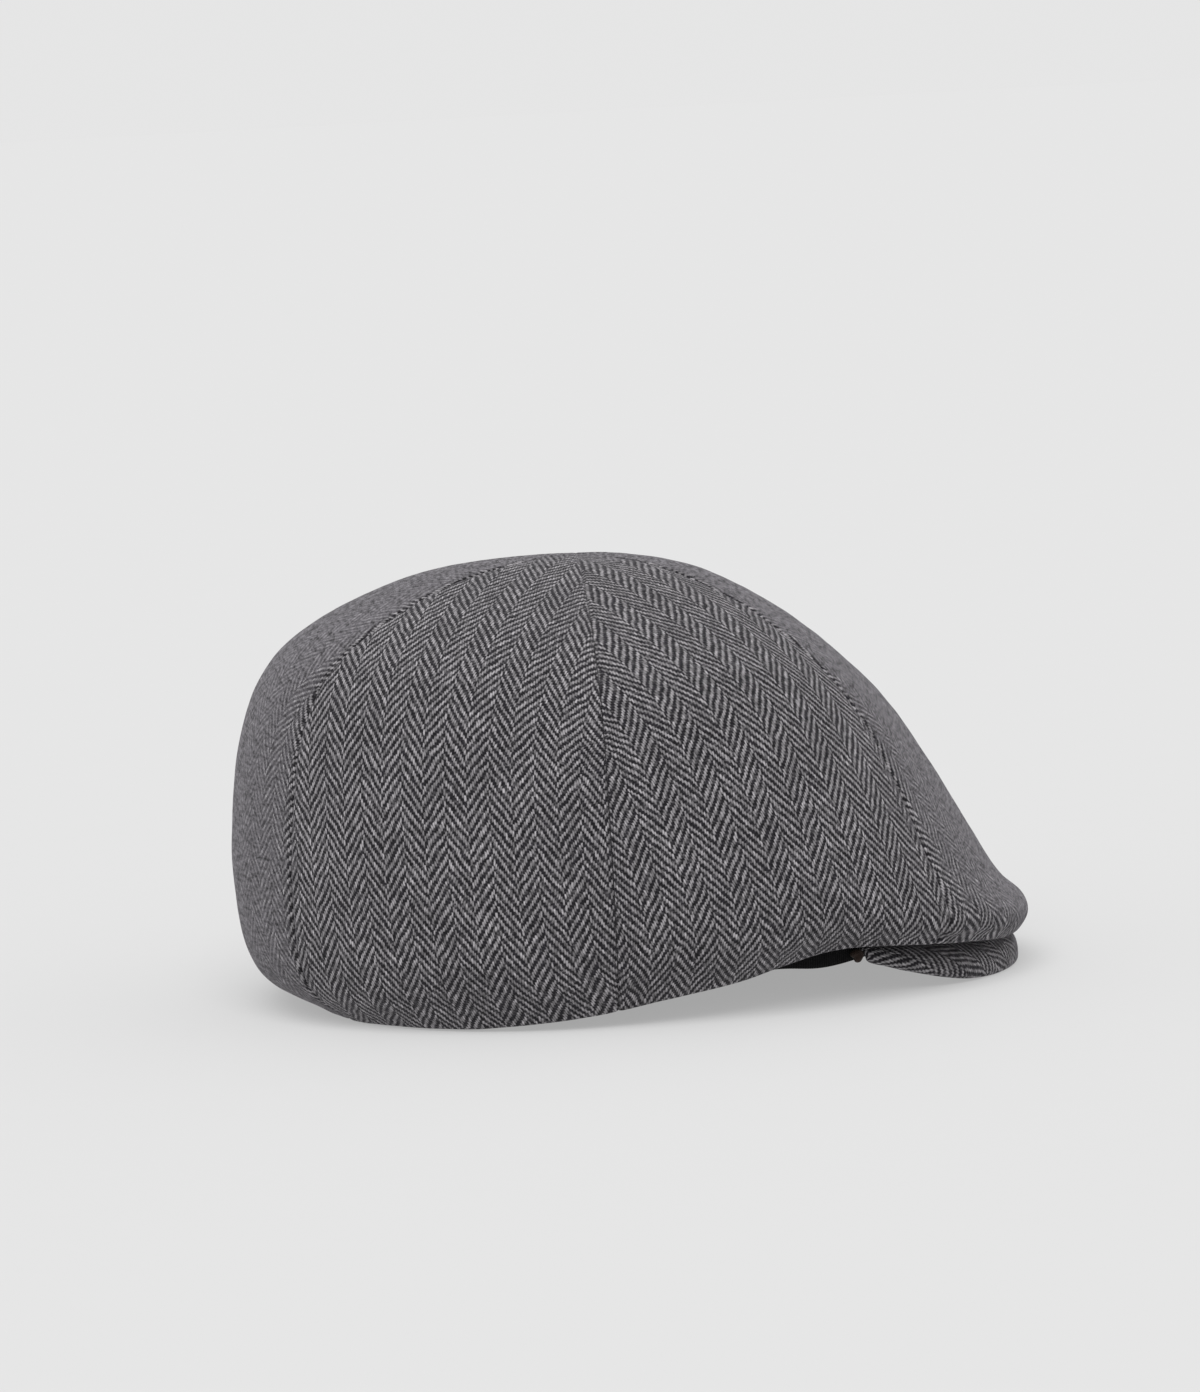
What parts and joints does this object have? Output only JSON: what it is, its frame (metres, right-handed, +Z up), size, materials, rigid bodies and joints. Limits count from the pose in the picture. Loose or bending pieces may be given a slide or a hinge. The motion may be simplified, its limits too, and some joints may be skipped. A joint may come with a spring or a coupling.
{
  "type": "duckbill flat cap",
  "caption": "Soft duckbill flat cap of grey and black herringbone wool, with panels meeting at the top, a crown that folds down over a short curved peak, and a black sweatband.",
  "frame": {"origin": "middle of the cap's box, on the surface it rests on", "axes": "+X to the peak, +Y to the wearer's left, +Z up"},
  "size_m": [0.2566, 0.1952, 0.1407],
  "materials": {
    "herringbone_wool": "brushed grey and black herringbone twill wool, soft and slightly fuzzy",
    "peak_wool": "the same herringbone wool stretched over a stiff board",
    "black_band": "plain black woven band",
    "brown_binding": "dark brown rolled binding"
  },
  "bodies": {
    "root": {"panel_front": "herringbone_wool", "panel_front_left": "herringbone_wool", "panel_rear_left": "herringbone_wool", "panel_back": "herringbone_wool", "panel_rear_right": "herringbone_wool", "panel_front_right": "herringbone_wool", "peak": "peak_wool", "sweatband": "black_band", "peak_tab_left": "brown_binding", "peak_tab_right": "brown_binding"}
  },
  "joints": []
}
